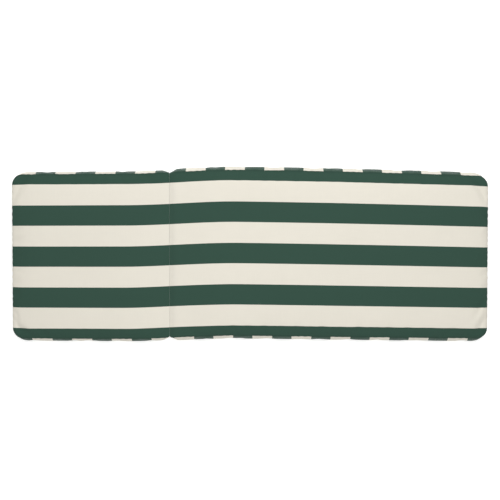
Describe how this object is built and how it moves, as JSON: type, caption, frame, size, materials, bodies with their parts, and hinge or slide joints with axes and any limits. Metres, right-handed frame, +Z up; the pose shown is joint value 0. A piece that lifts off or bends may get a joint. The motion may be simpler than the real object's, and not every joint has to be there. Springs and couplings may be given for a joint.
{
  "type": "hinged lounger cushion",
  "caption": "Long box-edged garden lounger pad in two sections, short back and long seat, hinged at the top seam, in dark green and cream block stripes, with zipped ends.",
  "frame": {"origin": "centre of the underside of the whole pad, laid flat", "axes": "+X from the head end to the foot end, +Y to the left of someone lying on it, +Z up"},
  "size_m": [1.9, 0.66, 0.096],
  "materials": {
    "cover_cloth": "woven acrylic canvas, dark green and cream block stripes 81 mm wide",
    "wadding": "soft white polyester fibre",
    "foam": "open-cell cushion foam, pale cream",
    "zip_tape": "narrow twill tape, dark green",
    "zip_teeth": "coiled nylon monofilament, dark green",
    "zip_metal": "die-cast zinc, enamelled dark green, worn at the edges",
    "label_cloth": "white satin ribbon, blank",
    "hinge_tape": "rolled cotton-polyester tape, undyed"
  },
  "bodies": {
    "seat": {"seat_top_panel": "cover_cloth", "seat_bottom_panel": "cover_cloth", "seat_boxing_left": "cover_cloth", "seat_boxing_right": "cover_cloth", "seat_hinge_wall": "cover_cloth", "seat_zip_gusset_upper": "cover_cloth", "seat_zip_gusset_lower": "cover_cloth", "seat_bottom_wadding": "wadding", "seat_foam_core": "foam", "seat_top_wadding": "wadding", "seat_zip_tapes": "zip_tape", "seat_zip_coils": "zip_teeth", "seat_zip_stops": "zip_metal", "hinge_tape": "hinge_tape"},
    "back": {"back_top_panel": "cover_cloth", "back_bottom_panel": "cover_cloth", "back_boxing_left": "cover_cloth", "back_boxing_right": "cover_cloth", "back_hinge_wall": "cover_cloth", "back_zip_gusset_upper": "cover_cloth", "back_zip_gusset_lower": "cover_cloth", "back_bottom_wadding": "wadding", "back_foam_core": "foam", "back_top_wadding": "wadding", "back_zip_tapes": "zip_tape", "back_zip_coils": "zip_teeth", "back_zip_stops": "zip_metal", "back_care_label": "label_cloth"},
    "seat_zip_slider": {"seat_zip_slider": "zip_metal"},
    "seat_zip_pull": {"seat_zip_pull": "zip_metal"},
    "back_zip_slider": {"back_zip_slider": "zip_metal"},
    "back_zip_pull": {"back_zip_pull": "zip_metal"}
  },
  "joints": [
    {"name": "back_fold", "type": "hinge", "parent": "seat", "child": "back", "pos_m": [-0.322, 0, 0.084], "axis": [0, 1, 0], "range_deg": [0, 165]},
    {"name": "seat_zip_slide", "type": "slide", "parent": "seat", "child": "seat_zip_slider", "axis": [0, -1, 0], "range_m": [0, 0.52]},
    {"name": "seat_zip_pull_swing", "type": "hinge", "parent": "seat_zip_slider", "child": "seat_zip_pull", "pos_m": [0.9478, 0.26, 0.042], "axis": [0, 0, 1], "range_deg": [0, 160]},
    {"name": "back_zip_slide", "type": "slide", "parent": "back", "child": "back_zip_slider", "axis": [0, 1, 0], "range_m": [0, 0.52]},
    {"name": "back_zip_pull_swing", "type": "hinge", "parent": "back_zip_slider", "child": "back_zip_pull", "pos_m": [-0.9478, -0.26, 0.042], "axis": [0, 0, 1], "range_deg": [0, 160]}
  ]
}
